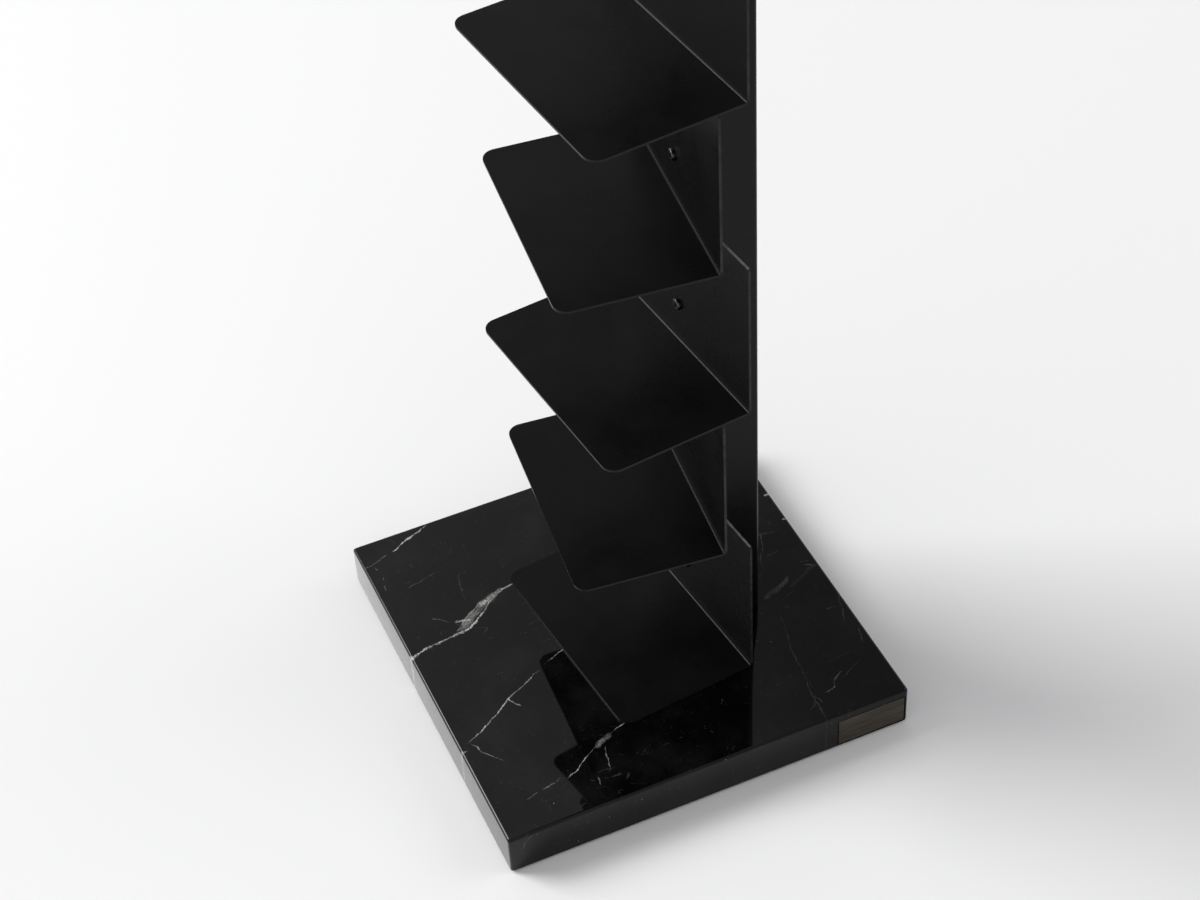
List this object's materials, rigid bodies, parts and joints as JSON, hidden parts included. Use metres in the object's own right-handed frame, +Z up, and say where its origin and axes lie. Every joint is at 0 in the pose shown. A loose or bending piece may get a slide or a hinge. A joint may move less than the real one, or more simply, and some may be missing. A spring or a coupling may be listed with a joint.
{
  "type": "spine bookshelf",
  "caption": "Free-standing book tower: a black column on a square marble slab carries L-shaped steel shelves, turned left and right in turn, for lying piles of books.",
  "frame": {"origin": "on the floor, under the middle of the square slab", "axes": "+Z up along the column; -Y is the front, where the tongues of the shelves point; +X is the side that holds the name plate"},
  "size_m": [0.35, 0.35, 1.591],
  "materials": {
    "marble": "polished black marble with sparse white veins",
    "black_lacquer": "satin black lacquer",
    "bronze": "dark bronze, brushed along its length",
    "rubber": "matt black",
    "black_screw": "blackened steel",
    "zinc_steel": "zinc plated steel"
  },
  "bodies": {
    "root": {"marble_base": "marble", "nameplate": "bronze", "pad_front_left": "rubber", "pad_back_left": "rubber", "pad_front_right": "rubber", "pad_back_right": "rubber", "column": "black_lacquer", "column_cap": "black_lacquer", "shelf_01": "black_lacquer", "shelf_02": "black_lacquer", "shelf_03": "black_lacquer", "shelf_04": "black_lacquer", "shelf_05": "black_lacquer", "shelf_06": "black_lacquer", "shelf_07": "black_lacquer", "shelf_08": "black_lacquer", "shelf_09": "black_lacquer", "shelf_10": "black_lacquer", "shelf_11": "black_lacquer", "wedge_01": "black_lacquer", "wedge_02": "black_lacquer", "wedge_03": "black_lacquer", "wedge_04": "black_lacquer", "wedge_05": "black_lacquer", "wedge_06": "black_lacquer", "wedge_07": "black_lacquer", "wedge_08": "black_lacquer", "wedge_09": "black_lacquer", "wedge_10": "black_lacquer", "wedge_11": "black_lacquer", "shelf_screw_01_lower": "black_screw", "shelf_screw_01_upper": "black_screw", "shelf_screw_02_lower": "black_screw", "shelf_screw_02_upper": "black_screw", "shelf_screw_03_lower": "black_screw", "shelf_screw_03_upper": "black_screw", "shelf_screw_04_lower": "black_screw", "shelf_screw_04_upper": "black_screw", "shelf_screw_05_lower": "black_screw", "shelf_screw_05_upper": "black_screw", "shelf_screw_06_lower": "black_screw", "shelf_screw_06_upper": "black_screw", "shelf_screw_07_lower": "black_screw", "shelf_screw_07_upper": "black_screw", "shelf_screw_08_lower": "black_screw", "shelf_screw_08_upper": "black_screw", "shelf_screw_09_lower": "black_screw", "shelf_screw_09_upper": "black_screw", "shelf_screw_10_lower": "black_screw", "shelf_screw_10_upper": "black_screw", "shelf_screw_11_lower": "black_screw", "shelf_screw_11_upper": "black_screw", "foot_plate": "zinc_steel", "anchor_plate": "zinc_steel", "base_bolt_1": "zinc_steel", "base_bolt_2": "zinc_steel", "base_bolt_3": "zinc_steel", "base_bolt_4": "zinc_steel"}
  },
  "joints": []
}
